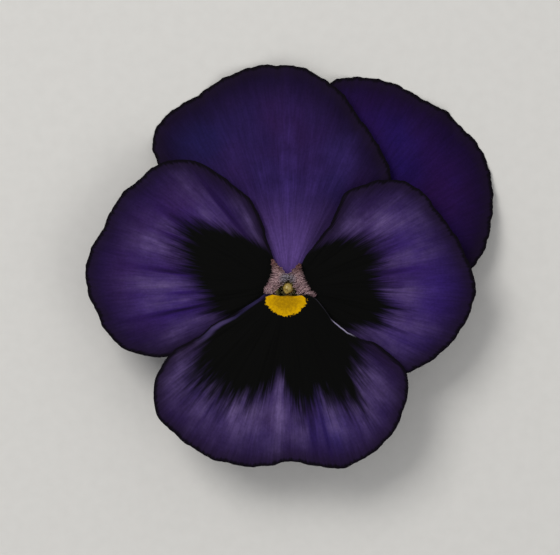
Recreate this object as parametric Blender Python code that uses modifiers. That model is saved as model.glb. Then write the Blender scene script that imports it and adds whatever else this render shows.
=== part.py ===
"""A picked pansy bloom, lying face up: five petals, five sepals, stamens, pistil and a cut stalk.

Plan positions are millimetres from the throat's axis, with the lower petal towards -Y, and heights
are millimetres above the surface that the bloom lies on. An empty carries every piece, and is moved
at the end so that the origin lies under the middle of the bloom.
"""
import math

import bmesh
import bpy
import numpy as np

MM = 0.001

# the face of the bloom
REACH = 38.0            # from the throat to the top of the bloom
RIM_HEIGHT = 8.7        # rearmost petal's height where it leaves the throat
LAYER_STEP = 1.15       # from one petal to the next one in front of it
PETAL_THICK = 0.6
TILT = 0.05             # fall of the face towards its top, per mm
DROOP_HIGH = 5.4        # fall at the upper margins, at REACH
DROOP_LOW = 3.0         # fall at the side and lower margins, at REACH
DROOP_AIM = math.radians(95)
RIPPLE = 0.9            # height of the ripples at REACH, alike on all petals
MARGIN_WAVE = 0.4       # height of each petal's own waves at the middle of its margin

# claws, the narrow feet of the petals
FOOT_HEIGHT = 5.85
FOOT_RADIUS = 2.5
FOOT_HALF = 20          # half the claw's width as an angle, in degrees
BEND = 1.0              # radius of the turn from claw to blade
CLAW_SHARE = 0.34       # share of a petal's rows that the claw and its turn take
ROW_BUNCH = 1.4         # above 1, rows lie closer together towards the margin
REFLEX_START = 10.0     # from here outwards a petal's corner bends down to the surface
REFLEX_SPAN = 24.0

# the lower petal's hollow foot and spur: y, height, radius
SPUR = [(-2.9, 11.7, 1.45), (-3.1, 9.4, 1.4), (-3.9, 6.6, 1.15), (-4.5, 4.4, 1.0), (-4.75, 3.3, 0.75),
        (-4.85, 2.95, 0.3)]

# sepals: distance from the axis, height and width from the backward flap to the tip
SEPAL = [(3.6, 2.7, 1.5), (3.36, 3.4, 2.4), (3.28, 4.6, 2.5), (4.1, 5.45, 2.9), (7.0, 5.9, 4.6),
         (11.0, 5.9, 4.6), (15.0, 5.2, 2.9), (17.5, 4.6, 0.8)]
SEPAL_THICK = 0.65
SEPAL_KEEL = 0.35       # how far the edges stand in front of the midrib
SEPALS = {"sepal_top": 90, "sepal_left": 163, "sepal_right": 17, "sepal_lower_left": 231,
          "sepal_lower_right": 309}

# stalk and receptacle
STALK_RADIUS = 1.0
STALK_AXIS = STALK_RADIUS * math.cos(math.pi / 8)
STALK_ROUTE = [(0, 0, 4.7), (0, 0.35, 3.4), (0, 0.1, 2.3), (0, -1.3, 1.35), (0, -3.8, STALK_AXIS),
               (0.15, -8, STALK_AXIS), (0.5, -14, STALK_AXIS), (0.6, -20, STALK_AXIS),
               (0.3, -27, STALK_AXIS)]
RECEPTACLE = [(0.0, 5.4), (2.3, 5.4), (2.65, 5.2), (2.7, 4.9), (2.3, 4.3), (1.0, 3.8), (0.0, 3.7)]
BRACTEOLE_AT = -13.0
BRACTEOLE_LONG = 4.2
BRACTEOLE_WIDE = 1.2

# stamens and pistil
ANTHERS = 5
ANTHER_TALL = 2.9
ANTHER_WIDE = 2.0
ANTHER_THICK = 0.6
ANTHER_RING = 1.1
ANTHER_HEIGHT = 7.2
ANTHER_LEAN = math.radians(10)
PISTIL = [(0.0, 12.05), (0.45, 11.93), (0.75, 11.6), (0.85, 11.2), (0.75, 10.78), (0.5, 10.45),
          (0.32, 10.1), (0.24, 9.3), (0.22, 8.4), (0.26, 7.9), (0.42, 7.4), (0.5, 6.8), (0.48, 6.2),
          (0.4, 5.75), (0.0, 5.7)]


class Petal:
    """One petal: layer in the stack, where it stands, and the points of its margin, clockwise."""

    def __init__(self, layer, foot, rim, margin, waves, colour, reflex=(0, 0)):
        self.height = RIM_HEIGHT + LAYER_STEP * layer
        self.waves = waves
        self.foot = foot
        self.rim = rim
        self.margin = margin
        self.reflex_aim = math.radians(reflex[0])
        self.reflex_deep = reflex[1]
        self.colour = colour


PETALS = {
    "petal_upper_left": Petal(
        1, 126, (2.15, 124, 18),
        [(-20.2, 16.4), (-22.4, 21.4), (-23.3, 24.8), (-22.2, 28.2), (-19.2, 31.0), (-15.7, 33.0),
         (-11.3, 35.9), (-5.6, 38.1), (-1.4, 38.2), (2.6, 37.8), (7.2, 35.1), (9.9, 32.7), (11.6, 30.0),
         (13.7, 27.2), (15.7, 24.0), (17.1, 21.2), (17.6, 18.5), (16.4, 14.2)],
        waves=6, colour=(0.035, 0.014, 0.11), reflex=(145, 4.0)),
    "petal_upper_right": Petal(
        0, 54, (2.15, 56, 18),
        [(4.6, 31.0), (6.8, 34.9), (9.8, 36.1), (14.0, 36.1), (18.3, 35.1), (21.2, 33.6), (24.3, 31.8),
         (27.3, 30.3), (29.4, 28.0), (32.1, 25.4), (34.0, 22.1), (35.0, 18.1), (35.2, 14.4),
         (34.8, 11.0), (34.2, 8.0), (33.0, 5.3), (30.5, 2.6), (26.0, 0.6)],
        waves=5.5, colour=(0.025, 0.009, 0.08), reflex=(30, 1.4)),
    "petal_side_left": Petal(
        2, 195, (2.1, 185, 20),
        [(-4.4, -2.1), (-7.4, -4.8), (-12.5, -8.4), (-16.8, -10.6), (-20.9, -11.8), (-24.5, -11.5),
         (-28.1, -10.3), (-31.0, -7.5), (-32.7, -4.1), (-34.2, -0.7), (-34.6, 2.7), (-33.9, 6.2),
         (-31.8, 9.9), (-30.0, 13.7), (-28.1, 16.4), (-25.3, 18.7), (-22.4, 21.1), (-19.2, 21.9),
         (-15.9, 21.7), (-12.5, 20.0), (-9.6, 17.8), (-7.2, 15.9), (-5.5, 13.7), (-4.3, 10.8),
         (-3.3, 7.4), (-2.5, 5.1), (-1.9, 3.1)],
        waves=6.5, colour=(0.03, 0.012, 0.10)),
    "petal_side_right": Petal(
        2, 345, (2.1, 355, 20),
        [(1.9, 3.3), (3.3, 5.8), (5.5, 8.6), (7.4, 11.3), (8.6, 14.0), (9.8, 16.3), (12.7, 17.6),
         (16.1, 18.5), (19.5, 18.3), (22.1, 17.1), (24.1, 15.2), (25.5, 13.2), (27.4, 10.8),
         (29.3, 7.9), (30.6, 5.0), (31.8, 1.9), (32.0, -0.9), (31.0, -4.4), (29.3, -7.5),
         (26.9, -10.4), (24.0, -12.7), (21.7, -13.9), (19.9, -14.5), (15.7, -13.3), (11.0, -9.9),
         (6.3, -5.1), (3.5, -2.1)],
        waves=6.5, colour=(0.03, 0.012, 0.10)),
    "petal_lower": Petal(
        3, 270, (1.88, 270, 40),
        [(3.3, -1.1), (4.8, -1.9), (6.2, -3.6), (7.5, -5.3), (9.6, -7.2), (12.0, -8.4), (15.2, -9.6),
         (17.5, -11.3), (19.5, -13.2), (20.3, -14.8), (20.5, -17.1), (20.0, -19.9), (18.7, -23.3),
         (16.8, -26.0), (14.0, -28.4), (10.6, -30.3), (7.9, -30.8), (4.8, -30.3), (2.1, -29.8),
         (-0.5, -29.6), (-3.1, -30.3), (-6.2, -30.5), (-9.6, -30.0), (-13.0, -29.1), (-16.4, -27.2),
         (-19.2, -25.0), (-22.1, -22.1), (-22.9, -18.8), (-22.6, -15.4), (-21.2, -12.7),
         (-18.8, -10.1), (-15.2, -8.3), (-12.8, -6.1), (-10.4, -5.1), (-7.9, -3.6), (-5.3, -2.0),
         (-3.9, -0.9)],
        waves=7, colour=(0.028, 0.012, 0.095)),
}


def clear_scene():
    """Start from an empty scene."""
    for item in list(bpy.data.objects):
        bpy.data.objects.remove(item, do_unlink=True)


def material(name, colour, roughness):
    """One plain finish for a piece."""
    finish = bpy.data.materials.new(name)
    finish.use_nodes = True
    shader = finish.node_tree.nodes["Principled BSDF"]
    shader.inputs["Base Color"].default_value = (*colour, 1)
    shader.inputs["Roughness"].default_value = roughness
    shader.inputs["Metallic"].default_value = 0
    finish.diffuse_color = (*colour, 1)
    return finish


def add_piece(name, mesh, colour, group, roughness=0.6):
    """Link a mesh as a named, smoothly shaded piece of the bloom."""
    mesh.shade_smooth()
    mesh.set_sharp_from_angle(angle=math.radians(50))
    piece = bpy.data.objects.new(name, mesh)
    mesh.materials.clear()
    mesh.materials.append(material(name, colour, roughness))
    group.objects.link(piece)
    return piece


def smooth_curve(points, t):
    """Catmull-Rom curve through the points, read at t from 0 to 1 of its chord length."""
    p = np.array(points, float)
    steps = np.linalg.norm(np.diff(p, axis=0), axis=1)
    knots = np.concatenate([[0], np.cumsum(steps)]) / steps.sum()
    p = np.vstack([2 * p[0] - p[1], p, 2 * p[-1] - p[-2]])
    i = np.clip(np.searchsorted(knots, t, side="right") - 1, 0, len(knots) - 2)
    f = ((t - knots[i]) / (knots[i + 1] - knots[i]))[..., None]
    a, b, c, d = p[i], p[i + 1], p[i + 2], p[i + 3]
    curve = 2 * b + (c - a) * f + (2 * a - 5 * b + 4 * c - d) * f**2 + (3 * b - a - 3 * c + d) * f**3
    return curve / 2


def ease(x):
    """Smooth step from 0 to 1."""
    x = np.clip(x, 0, 1)
    return x * x * (3 - 2 * x)


def chord(radius, azimuth, half, v):
    """Point at v along the straight line that spans a sector of a circle, clockwise."""
    start = math.radians(azimuth + half)
    end = math.radians(azimuth - half)
    first = np.array([math.cos(start), math.sin(start)]) * radius
    last = np.array([math.cos(end), math.sin(end)]) * radius
    return first + (last - first) * v[..., None]


def face_height(x, y):
    """Height of the bloom's face against the throat: a tilt, a droop outwards and ripples."""
    r = np.hypot(x, y)
    around = np.arctan2(y, x)
    upper = ease((np.cos(around - DROOP_AIM) + 0.25) / 1.25)
    droop = (DROOP_LOW + (DROOP_HIGH - DROOP_LOW) * upper) * (r / REACH)**2
    wave = 0.6 * np.sin(8 * around + 0.5) + 0.4 * np.sin(13 * around + 2.0)
    return RIPPLE * wave * (r / REACH)**4 - TILT * y - droop


def petal_points(u, v, petal):
    """Middle surface of a petal. u runs from the foot to the margin, v clockwise round the margin.

    The claw climbs from its foot to the throat's rim, turns outwards through a quarter circle, and
    the blade then follows straight lines from the rim to the margin, at the height of the face.
    """
    foot = chord(FOOT_RADIUS, petal.foot, FOOT_HALF, v)
    rim = chord(*petal.rim, v)
    out = smooth_curve(petal.margin, v) - rim
    reach = np.linalg.norm(out, axis=-1)
    out = out / reach[..., None]
    climb = petal.height - BEND - FOOT_HEIGHT
    path = np.minimum(u / CLAW_SHARE, 1) * (climb + BEND * math.pi / 2)
    turn = np.clip((path - climb) / BEND, 0, math.pi / 2)
    blade = 1 - (1 - np.maximum(u - CLAW_SHARE, 0) / (1 - CLAW_SHARE))**ROW_BUNCH
    along = BEND * (1 - np.cos(turn)) + (reach - BEND) * blade
    plan = foot + (rim - foot) * ease(path / climb)[..., None] + out * along[..., None]
    x, y = plan[..., 0], plan[..., 1]
    corner = x * math.cos(petal.reflex_aim) + y * math.sin(petal.reflex_aim)
    reflex = petal.reflex_deep * np.maximum((corner - REFLEX_START) / REFLEX_SPAN, 0)**2
    wave = MARGIN_WAVE * blade**4 * np.sin(math.pi * v)**2 * np.sin(petal.waves * math.tau * v)
    z = FOOT_HEIGHT + np.minimum(path, climb) + BEND * np.sin(turn) + face_height(x, y)
    return np.stack([x, y, z + wave - reflex], axis=-1)


def sepal_points(u, v, azimuth):
    """Middle surface of a sepal. u runs from its backward flap to its tip, v across it."""
    path = smooth_curve(SEPAL, u)
    ahead = smooth_curve(SEPAL, np.minimum(u + 0.01, 1)) - smooth_curve(SEPAL, np.maximum(u - 0.01, 0))
    length = np.hypot(ahead[..., 0], ahead[..., 1])
    across = 2 * v - 1
    lift = SEPAL_KEEL * across**2 * path[..., 2] / 5
    radial = path[..., 0] - lift * ahead[..., 1] / length
    z = path[..., 1] + lift * ahead[..., 0] / length
    side = -across * path[..., 2] / 2
    turn = math.radians(azimuth)
    x = radial * math.cos(turn) - side * math.sin(turn)
    y = radial * math.sin(turn) + side * math.cos(turn)
    return np.stack([x, y, z], axis=-1)


def bracteole_points(u, v, side):
    """Middle surface of a small bract that stands on the stalk and points up it."""
    across = (2 * v - 1) * BRACTEOLE_WIDE * np.sqrt(np.maximum(1 - u, 0.02)) / 2
    x = 0.5 + side * (0.1 + 1.7 * u) + across * 0.85 * side
    y = BRACTEOLE_AT + BRACTEOLE_LONG * u * 0.85 - across * 0.5
    z = STALK_AXIS + 0.3 + 0.9 * u
    return np.stack([x, y, z], axis=-1)


def sheet_mesh(name, columns, rows, thick, formula, *settings):
    """Grid reshaped by a formula of its two parameters, triangulated and given its thickness."""
    cells = bmesh.new()
    bmesh.ops.create_grid(cells, x_segments=columns, y_segments=rows, size=0.5)
    bmesh.ops.triangulate(cells, faces=cells.faces[:], quad_method="FIXED")
    flat = bpy.data.meshes.new(name)
    cells.to_mesh(flat)
    cells.free()
    spots = np.empty(len(flat.vertices) * 3, np.float32)
    flat.vertices.foreach_get("co", spots)
    v, u, _ = spots.reshape(-1, 3).T.astype(float) + 0.5
    points = formula(u, v, *settings) * MM
    flat.vertices.foreach_set("co", points.astype(np.float32).ravel())
    flat.update()
    holder = bpy.data.objects.new(name + "_sheet", flat)
    bpy.context.scene.collection.objects.link(holder)
    wall = holder.modifiers.new("wall", "SOLIDIFY")
    wall.thickness = thick * MM
    wall.offset = 0
    solid = applied(holder)
    bpy.data.meshes.remove(flat)
    return solid


def applied(holder):
    """Mesh of an object with its modifiers applied; the object itself is removed."""
    bpy.context.view_layer.update()
    graph = bpy.context.evaluated_depsgraph_get()
    mesh = bpy.data.meshes.new_from_object(holder.evaluated_get(graph))
    mesh.transform(holder.matrix_world)
    bpy.data.objects.remove(holder, do_unlink=True)
    return mesh


def press_on_surface(mesh):
    """Lift both faces of a sheet where its underside would pass through the surface below."""
    spots = np.empty(len(mesh.vertices) * 3, np.float32)
    mesh.vertices.foreach_get("co", spots)
    faces = spots.reshape(2, -1, 3)
    faces[:, :, 2] += np.maximum(-faces[:, :, 2].min(axis=0), 0)
    mesh.vertices.foreach_set("co", faces.ravel())
    mesh.update()


def tube_mesh(name, route, radii, steps, tilt=0.0):
    """Closed tube along a smooth route with a radius at each point, never below the stalk's axis."""
    t = np.linspace(0, 1, steps)
    stations = smooth_curve([(*place, radius) for place, radius in zip(route, radii)], t)
    stations[:, 2] = np.maximum(stations[:, 2], STALK_AXIS)
    curve = bpy.data.curves.new(name, "CURVE")
    curve.dimensions = "3D"
    curve.bevel_depth = MM
    curve.bevel_resolution = 2
    curve.use_fill_caps = True
    line = curve.splines.new("POLY")
    line.points.add(steps - 1)
    for point, (x, y, z, radius) in zip(line.points, stations):
        point.co = (x * MM, y * MM, z * MM, 1)
        point.radius = radius
        point.tilt = tilt
    holder = bpy.data.objects.new(name + "_line", curve)
    bpy.context.scene.collection.objects.link(holder)
    mesh = applied(holder)
    welded = bmesh.new()
    welded.from_mesh(mesh)
    bmesh.ops.remove_doubles(welded, verts=welded.verts[:], dist=1e-6)
    bmesh.ops.recalc_face_normals(welded, faces=welded.faces[:])
    welded.to_mesh(mesh)
    welded.free()
    return mesh


def turned_mesh(name, profile, steps):
    """Solid turned about the throat's axis from a profile that runs from its top to its foot."""
    outline = bpy.data.meshes.new(name)
    points = [(radius * MM, 0, height * MM) for radius, height in profile]
    outline.from_pydata(points, [(i, i + 1) for i in range(len(points) - 1)], [])
    holder = bpy.data.objects.new(name + "_profile", outline)
    bpy.context.scene.collection.objects.link(holder)
    lathe = holder.modifiers.new("lathe", "SCREW")
    lathe.steps = steps
    lathe.render_steps = steps
    lathe.use_merge_vertices = True
    lathe.merge_threshold = 1e-6
    return applied(holder)


def fused(name, meshes):
    """One closed mesh from several that pass through each other."""
    tools = bpy.data.collections.new(name + "_tools")
    bpy.context.scene.collection.children.link(tools)
    base = bpy.data.objects.new(name + "_base", meshes[0])
    bpy.context.scene.collection.objects.link(base)
    others = [bpy.data.objects.new(f"{name}_{i}", mesh) for i, mesh in enumerate(meshes[1:])]
    for other in others:
        tools.objects.link(other)
    join = base.modifiers.new("join", "BOOLEAN")
    join.operation = "UNION"
    join.operand_type = "COLLECTION"
    join.collection = tools
    join.solver = "EXACT"
    mesh = applied(base)
    for other in others:
        bpy.data.objects.remove(other, do_unlink=True)
    bpy.data.collections.remove(tools)
    return mesh


def make_petals(group):
    """Five petals; the two upper ones bend down at a corner and rest there on the surface."""
    for name, petal in PETALS.items():
        mesh = sheet_mesh(name, 33, 13, PETAL_THICK, petal_points, petal)
        if petal.reflex_deep:
            press_on_surface(mesh)
        if name == "petal_lower":
            route = [(0, y, z) for y, z, _ in SPUR]
            spur = tube_mesh("spur", route, [radius for _, _, radius in SPUR], 12)
            mesh = fused(name, [mesh, spur])
        add_piece(name, mesh, petal.colour, group)


def make_sepals(group):
    """Five green sepals round the receptacle, each with its flap pointing back."""
    for name, azimuth in SEPALS.items():
        mesh = sheet_mesh(name, 4, 14, SEPAL_THICK, sepal_points, azimuth)
        add_piece(name, mesh, (0.06, 0.16, 0.025), group)


def make_stalk(group):
    """Cut stalk with its two bracteoles and the receptacle that carries the flower."""
    stalk = tube_mesh("stalk", STALK_ROUTE, [STALK_RADIUS] * len(STALK_ROUTE), 26, math.pi / 8)
    button = turned_mesh("receptacle", RECEPTACLE, 20)
    bracts = [sheet_mesh("bracteole", 2, 4, 0.6, bracteole_points, side) for side in (-1, 1)]
    add_piece("stalk", fused("stalk", [stalk, button, *bracts]), (0.10, 0.22, 0.035), group)


def make_stamens(group):
    """Five anthers side by side in a cone round the ovary."""
    anthers = []
    for i in range(ANTHERS):
        ball = bmesh.new()
        bmesh.ops.create_uvsphere(ball, u_segments=10, v_segments=8, radius=0.5 * MM)
        bmesh.ops.scale(ball, verts=ball.verts[:], vec=(ANTHER_THICK, ANTHER_WIDE, ANTHER_TALL))
        mesh = bpy.data.meshes.new(f"anther_{i}")
        ball.to_mesh(mesh)
        ball.free()
        spots = np.empty(len(mesh.vertices) * 3, np.float32)
        mesh.vertices.foreach_get("co", spots)
        x, y, z = spots.reshape(-1, 3).T.astype(float) / MM
        radial = ANTHER_RING + x * math.cos(ANTHER_LEAN) - z * math.sin(ANTHER_LEAN)
        height = ANTHER_HEIGHT + z * math.cos(ANTHER_LEAN) + x * math.sin(ANTHER_LEAN)
        side = y * (1 - 0.16 * z)
        turn = math.radians(90 + 360 * i / ANTHERS)
        east = radial * math.cos(turn) - side * math.sin(turn)
        north = radial * math.sin(turn) + side * math.cos(turn)
        placed = np.stack([east, north, height], axis=-1) * MM
        mesh.vertices.foreach_set("co", placed.astype(np.float32).ravel())
        mesh.update()
        anthers.append(mesh)
    add_piece("stamens", fused("stamens", anthers), (0.65, 0.42, 0.08), group)


def make_pistil(group):
    """Ovary, style and the rounded stigma that shows in the throat."""
    add_piece("pistil", turned_mesh("pistil", PISTIL, 16), (0.42, 0.45, 0.10), group)


def carry_and_centre(group):
    """Parent every piece to an empty that sets the origin under the middle of the bloom."""
    carrier = bpy.data.objects.new("pansy_carrier", None)
    bpy.context.scene.collection.objects.link(carrier)
    spots = []
    for piece in group.objects:
        values = np.empty(len(piece.data.vertices) * 3, np.float32)
        piece.data.vertices.foreach_get("co", values)
        spots.append(values.reshape(-1, 3))
        piece.parent = carrier
    spots = np.vstack(spots)
    middle = (spots.min(axis=0) + spots.max(axis=0)) / 2
    carrier.location = (-float(middle[0]), -float(middle[1]), -float(spots[:, 2].min()))


def main():
    """Build the bloom."""
    clear_scene()
    group = bpy.data.collections.new("pansy_bloom")
    bpy.context.scene.collection.children.link(group)
    make_petals(group)
    make_sepals(group)
    make_stalk(group)
    make_stamens(group)
    make_pistil(group)
    carry_and_centre(group)


main()
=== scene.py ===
"""The looks of a picked pansy bloom that lies face up: velvet petals, a bearded throat, a green back.

Lengths are millimetres, measured from the throat's axis with the lower petal towards -Y, and heights
are above the surface that the bloom lies on. Angles round the throat are degrees from +X.
"""
import functools
import math

import bpy
import numpy as np
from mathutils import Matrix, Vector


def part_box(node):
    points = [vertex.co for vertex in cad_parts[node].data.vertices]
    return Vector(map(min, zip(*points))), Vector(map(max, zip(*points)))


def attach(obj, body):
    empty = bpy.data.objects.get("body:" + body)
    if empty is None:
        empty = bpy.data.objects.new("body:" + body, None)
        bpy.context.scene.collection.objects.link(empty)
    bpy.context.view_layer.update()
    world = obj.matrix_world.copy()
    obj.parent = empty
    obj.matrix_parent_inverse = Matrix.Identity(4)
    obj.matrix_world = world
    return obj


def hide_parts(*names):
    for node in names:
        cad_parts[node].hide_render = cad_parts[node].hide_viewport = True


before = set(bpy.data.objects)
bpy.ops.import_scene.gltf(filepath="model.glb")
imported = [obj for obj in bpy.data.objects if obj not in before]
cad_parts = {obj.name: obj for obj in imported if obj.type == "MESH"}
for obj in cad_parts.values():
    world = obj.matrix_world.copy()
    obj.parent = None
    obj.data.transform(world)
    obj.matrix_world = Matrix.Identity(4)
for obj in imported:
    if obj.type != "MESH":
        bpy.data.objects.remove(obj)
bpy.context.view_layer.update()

MM = 0.001
TAU = math.tau
PISTIL_LOW, PISTIL_HIGH = (np.array(corner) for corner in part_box("pistil"))
THROAT = (PISTIL_LOW + PISTIL_HIGH) / 2 * (1, 1, 0)

# the photograph's frame
PHOTO_WIDE = 560
PHOTO_TALL = 555
THROAT_PIXEL = (288, 288)
MM_PER_PIXEL = 70 / 409
CAMERA_HEIGHT = 1.4
SENSOR = 36
FACE_LEVEL = 6.0        # height at which the photograph's scale holds

# the face of the bloom and the petals' claws, with the same driving sizes as its solids
REACH = 38.0
RIM_HEIGHT = 8.7
LAYER_STEP = 1.15
TILT = 0.05
DROOP_HIGH = 5.4
DROOP_LOW = 3.0
DROOP_AIM = math.radians(95)
RIPPLE = 0.9
MARGIN_WAVE = 0.4
FOOT_HEIGHT = 5.85
FOOT_RADIUS = 2.5
FOOT_HALF = 20
BEND = 1.0
CLAW_SHARE = 0.34
ROW_BUNCH = 1.4
REFLEX_START = 10.0
REFLEX_SPAN = 24.0

# finer form of a petal
PETAL_THICK = 0.30
MARGIN_THICK = 0.12
MARGIN_TAPER = 1.2      # how far in from the edge a petal reaches its full thickness
PETAL_COLUMNS = 300
PETAL_ROWS = 104
OUTLINE_STEPS = 600
FRAY = 0.16             # how far the margin wanders in its own plane
FRAY_ENDS = 12          # the fray grows over the first twelfth of the margin and fades over the last
FRAY_CALM = 0.04        # share of the margin round a shoulder where it stays smooth
VEIN_RELIEF = 0.045
PLEAT_RELIEF = 0.16
MARGIN_LIFT = 0.45      # how far the edge of a front petal stands off the one behind
WAVE_WIDE = 5.5         # how far in from the margin the waves and the lift die away
LIFT_WIDE = 2.6
WAVE_FROM = (5, 8)      # distance from the throat at which each begins, and over how far it grows
LIFT_FROM = (3, 5)
RELIEF_FROM = (3, 9)
SURFACE_GAP = 0.02      # least height of any piece over the surface that the bloom lies on

# streaks of the velvet: how many to a radian, how many to a millimetre outwards, and the step from one
# petal's pattern to the next. 26 to a radian are 0.8 mm apart at 20 mm from the throat.
STREAKS = [(7, 0.07, 7.3), (26, 0.13, 7.3), (80, 0.3, 7.3)]

# veins of the underside: radians apart, distance at which they begin, width
VEIN_SETS = [(0.22, 2, 0.13), (0.11, 8, 0.09), (0.055, 15, 0.06)]

# the lower petal's own marks: its yellow eye, with the powers of the eye's two superellipses, the painted
# light of a rolled-up left margin with a painted shadow outside it, and a painted highlight on the right
EYE_MIDDLE = (-0.38, -2.2)
EYE_WIDE = 3.45
EYE_ABOVE = 1.3
EYE_BELOW = 2.6
EYE_BLUNT = 2.4
EYE_POINTED = 1.6
ROLL_LIGHT_START = 3.4
ROLL_LIGHT_END = 19
ROLL_LIGHT_WIDE = 0.28
ROLL_LIGHT_WIDENS = 0.065     # for each millimetre outwards
ROLL_SHADOW_WIDE = 0.38        # width of the painted shadow line outside the painted roll, from ROLL_SHADOW_START outwards
ROLL_SHADOW_START = 7
SHINE_START = 4.4
SHINE_BRIGHT = 8.8      # where the painted highlight on the margin turns from a glimmer into a bright line
SHINE_END = 14.6
SHINE_WIDE = 0.12
UNMARKED = 9.0          # ratio to a blotch's or the eye's reach on a petal that has none

# the spur's y, height and radius, and the sepals' distance from the axis, height and width
SPUR = [(-2.9, 11.7, 1.45), (-3.1, 9.4, 1.4), (-3.9, 6.6, 1.15), (-4.5, 4.4, 1.0), (-4.75, 3.3, 0.75),
        (-4.85, 2.95, 0.3)]
SEPAL = [(3.6, 2.7, 1.5), (3.36, 3.4, 2.4), (3.28, 4.6, 2.5), (4.1, 5.45, 2.9), (7.0, 5.9, 4.6),
         (11.0, 5.9, 4.6), (15.0, 5.2, 2.9), (17.5, 4.6, 0.8)]
SEPAL_KEEL = 0.35
SEPAL_EDGE = 0.14       # thickness at its edge, and what its inside and its midrib add
SEPAL_INSIDE = 0.26
SEPAL_MIDRIB = 0.22
SEPALS = {"top_sepal": (90, "sepal_top"), "left_sepal": (163, "sepal_left"),
          "right_sepal": (17, "sepal_right"), "lower_left_sepal": (231, "sepal_lower_left"),
          "lower_right_sepal": (309, "sepal_lower_right")}

# stalk, the cup at its top as height and radius, and the two bracteoles on it
STALK_RADIUS = 1.0      # out to its ridges
STALK_MEAN = 0.93       # mean radius, and the height of its middle line where it lies on the surface
STALK_ROUTE = [(0, 0, 4.7), (0, 0.35, 3.4), (0, 0.1, 2.3), (0, -1.3, 1.35), (0, -3.8, STALK_MEAN),
               (0.15, -8, STALK_MEAN), (0.5, -14, STALK_MEAN), (0.6, -20, STALK_MEAN),
               (0.3, -27, STALK_MEAN)]
RECEPTACLE = [(3.7, 0.05), (3.8, 1.0), (4.3, 2.3), (4.9, 2.7), (5.2, 2.65), (5.38, 2.3), (5.4, 0.05)]
BRACTEOLE_AT = -13.0
BRACTEOLE_LONG = 4.2
BRACTEOLE_WIDE = 1.2

# pistil and stamens. A mark on the stigma is its azimuth and rise on the ball, how far it stands out
# or sinks in as a share of the radius, its half width and its ring's radius, both as angles.
PISTIL_ENDS = (5.72, 10.4)
PISTIL_SHAPE = [(5.7, 0.1), (5.75, 0.38), (6.2, 0.48), (6.8, 0.5), (7.4, 0.42), (7.9, 0.26), (8.4, 0.2),
                (9.3, 0.2), (10.0, 0.26), (10.4, 0.4), (10.6, 0.6)]
PISTIL_HEAD = (11.2, 0.85)
STIGMA_MARKS = [(238, 42, -0.36, 0.36, 0.0), (238, 42, 0.09, 0.15, 0.62), (255, -2, 0.20, 0.22, 0.0)]
ANTHER_LOW = 5.85
ANTHER_HIGH = 8.6
ANTHER_RING = 1.1
ANTHERS = 5

# beards: where a hair starts and where its tip comes to, from the upper end of the tuft down
HAIRS = 900
HAIR_STEPS = 8
HAIR_SIDES = 6
HAIR_RADIUS = 0.055
HAIR_FIRST = (-0.08, 0.55)      # where a hair starts, as a share of the way along its guide
HAIR_SPAN = (0.3, 0.6)          # how much of the way it covers
HAIR_STRAY = (0.17, 0.28)       # how far its root and its tip are scattered
HAIR_RISE = (0.9, 1.6)          # how high its tip stands over the petal's face
HAIR_ARCH = (0.3, 0.6)          # how far its middle bows upwards
HAIR_SINK = 1.1                 # how much deeper a hair is rooted that starts well into the throat
BEARDS_MEET = (-0.1, 1.5, 12.4)
LEFT_BEARD = [(-2.8, 5.0, -2.45, 4.5), (-2.8, 3.9, -1.4, 3.4), (-2.8, 3.0, -0.45, 2.5),
              (-2.9, 2.2, 0.05, 1.9), (-3.1, 1.5, -0.4, 1.2), (-3.3, 1.0, -1.5, 0.5),
              (-3.7, 0.5, -2.0, -0.5), (-4.0, 0.1, -2.5, -1.25), (-4.1, -0.2, -3.6, -1.4)]
RIGHT_BEARD = [(2.15, 4.3, 1.65, 3.7), (2.3, 3.2, 0.8, 2.9), (2.55, 2.5, 0.25, 2.3), (2.75, 1.8, 0.2, 1.6),
               (3.0, 1.2, 0.65, 0.8), (3.25, 0.8, 1.1, 0.0), (3.5, 0.3, 1.5, -0.8), (4.0, -0.2, 2.3, -1.5),
               (4.9, -1.0, 4.2, -1.8)]

# floor's width in metres, and each lamp's name, place in metres, size in metres and power in watts
FLOOR_WIDE = 3.0
LAMPS = [("key_light", (-0.45, 0.45, 0.8), 0.5, 6.0), ("fill_light", (0.6, -0.4, 0.7), 0.6, 1.5)]

BACKDROP = ("#f2f5fa", 0.5)     # colour and strength of the even light from all round

SMOOTH = {"interpolation_type": "SMOOTHSTEP"}       # a Map Range that eases in and out

# colours of each velvet: deep, middle, cool, light and throat, and how much of the throat's shows
VELVETS = {
    "upper_petal_velvet": ("#150b24", "#2a1743", "#1e1846", "#4a347e", "#664c91", 1.0),
    "rear_petal_velvet": ("#180b28", "#260f3f", "#1b1050", "#301d64", "#4a3878", 0.6),
    "faced_petal_velvet": ("#1d1034", "#321c51", "#341f6a", "#604d7e", "#614a8e", 0.0),
    "lower_petal_velvet": ("#23143a", "#35234f", "#312468", "#6b5888", "#614a8e", 0.0),
}
# plain surfaces: dark and pale tone, grain and relief in millimetres, and roughness
SURFACES = {
    "spur_skin": ("#4a3f5e", "#6f6680", 0.8, 0.02, 0.55),       # thin petal tissue, a dull mauve grey
    "stigma_skin": ("#7d6a30", "#b59c4e", 0.25, 0.02, 0.4),     # moist olive tissue with a soft gloss
    "pollen_sac": ("#b9a868", "#d6c98c", 0.12, 0.02, 0.8),      # dry cream sacs, dusty and matt
    "anther_membrane": ("#a85a1c", "#c9772a", 0.3, 0.01, 0.55),     # papery orange tips
    "cut_face": ("#a9b57c", "#c9cfa0", 0.2, 0.03, 0.5),         # pale moist pith of the cut stalk
    "receptacle_skin": ("#7f9146", "#a6ad66", 0.5, 0.02, 0.5),  # smooth, yellower green of the cup
    "pale_floor": ("#d2cfc9", "#d5d2cc", 2.0, 0.01, 0.85),      # plain matt board
}


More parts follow.
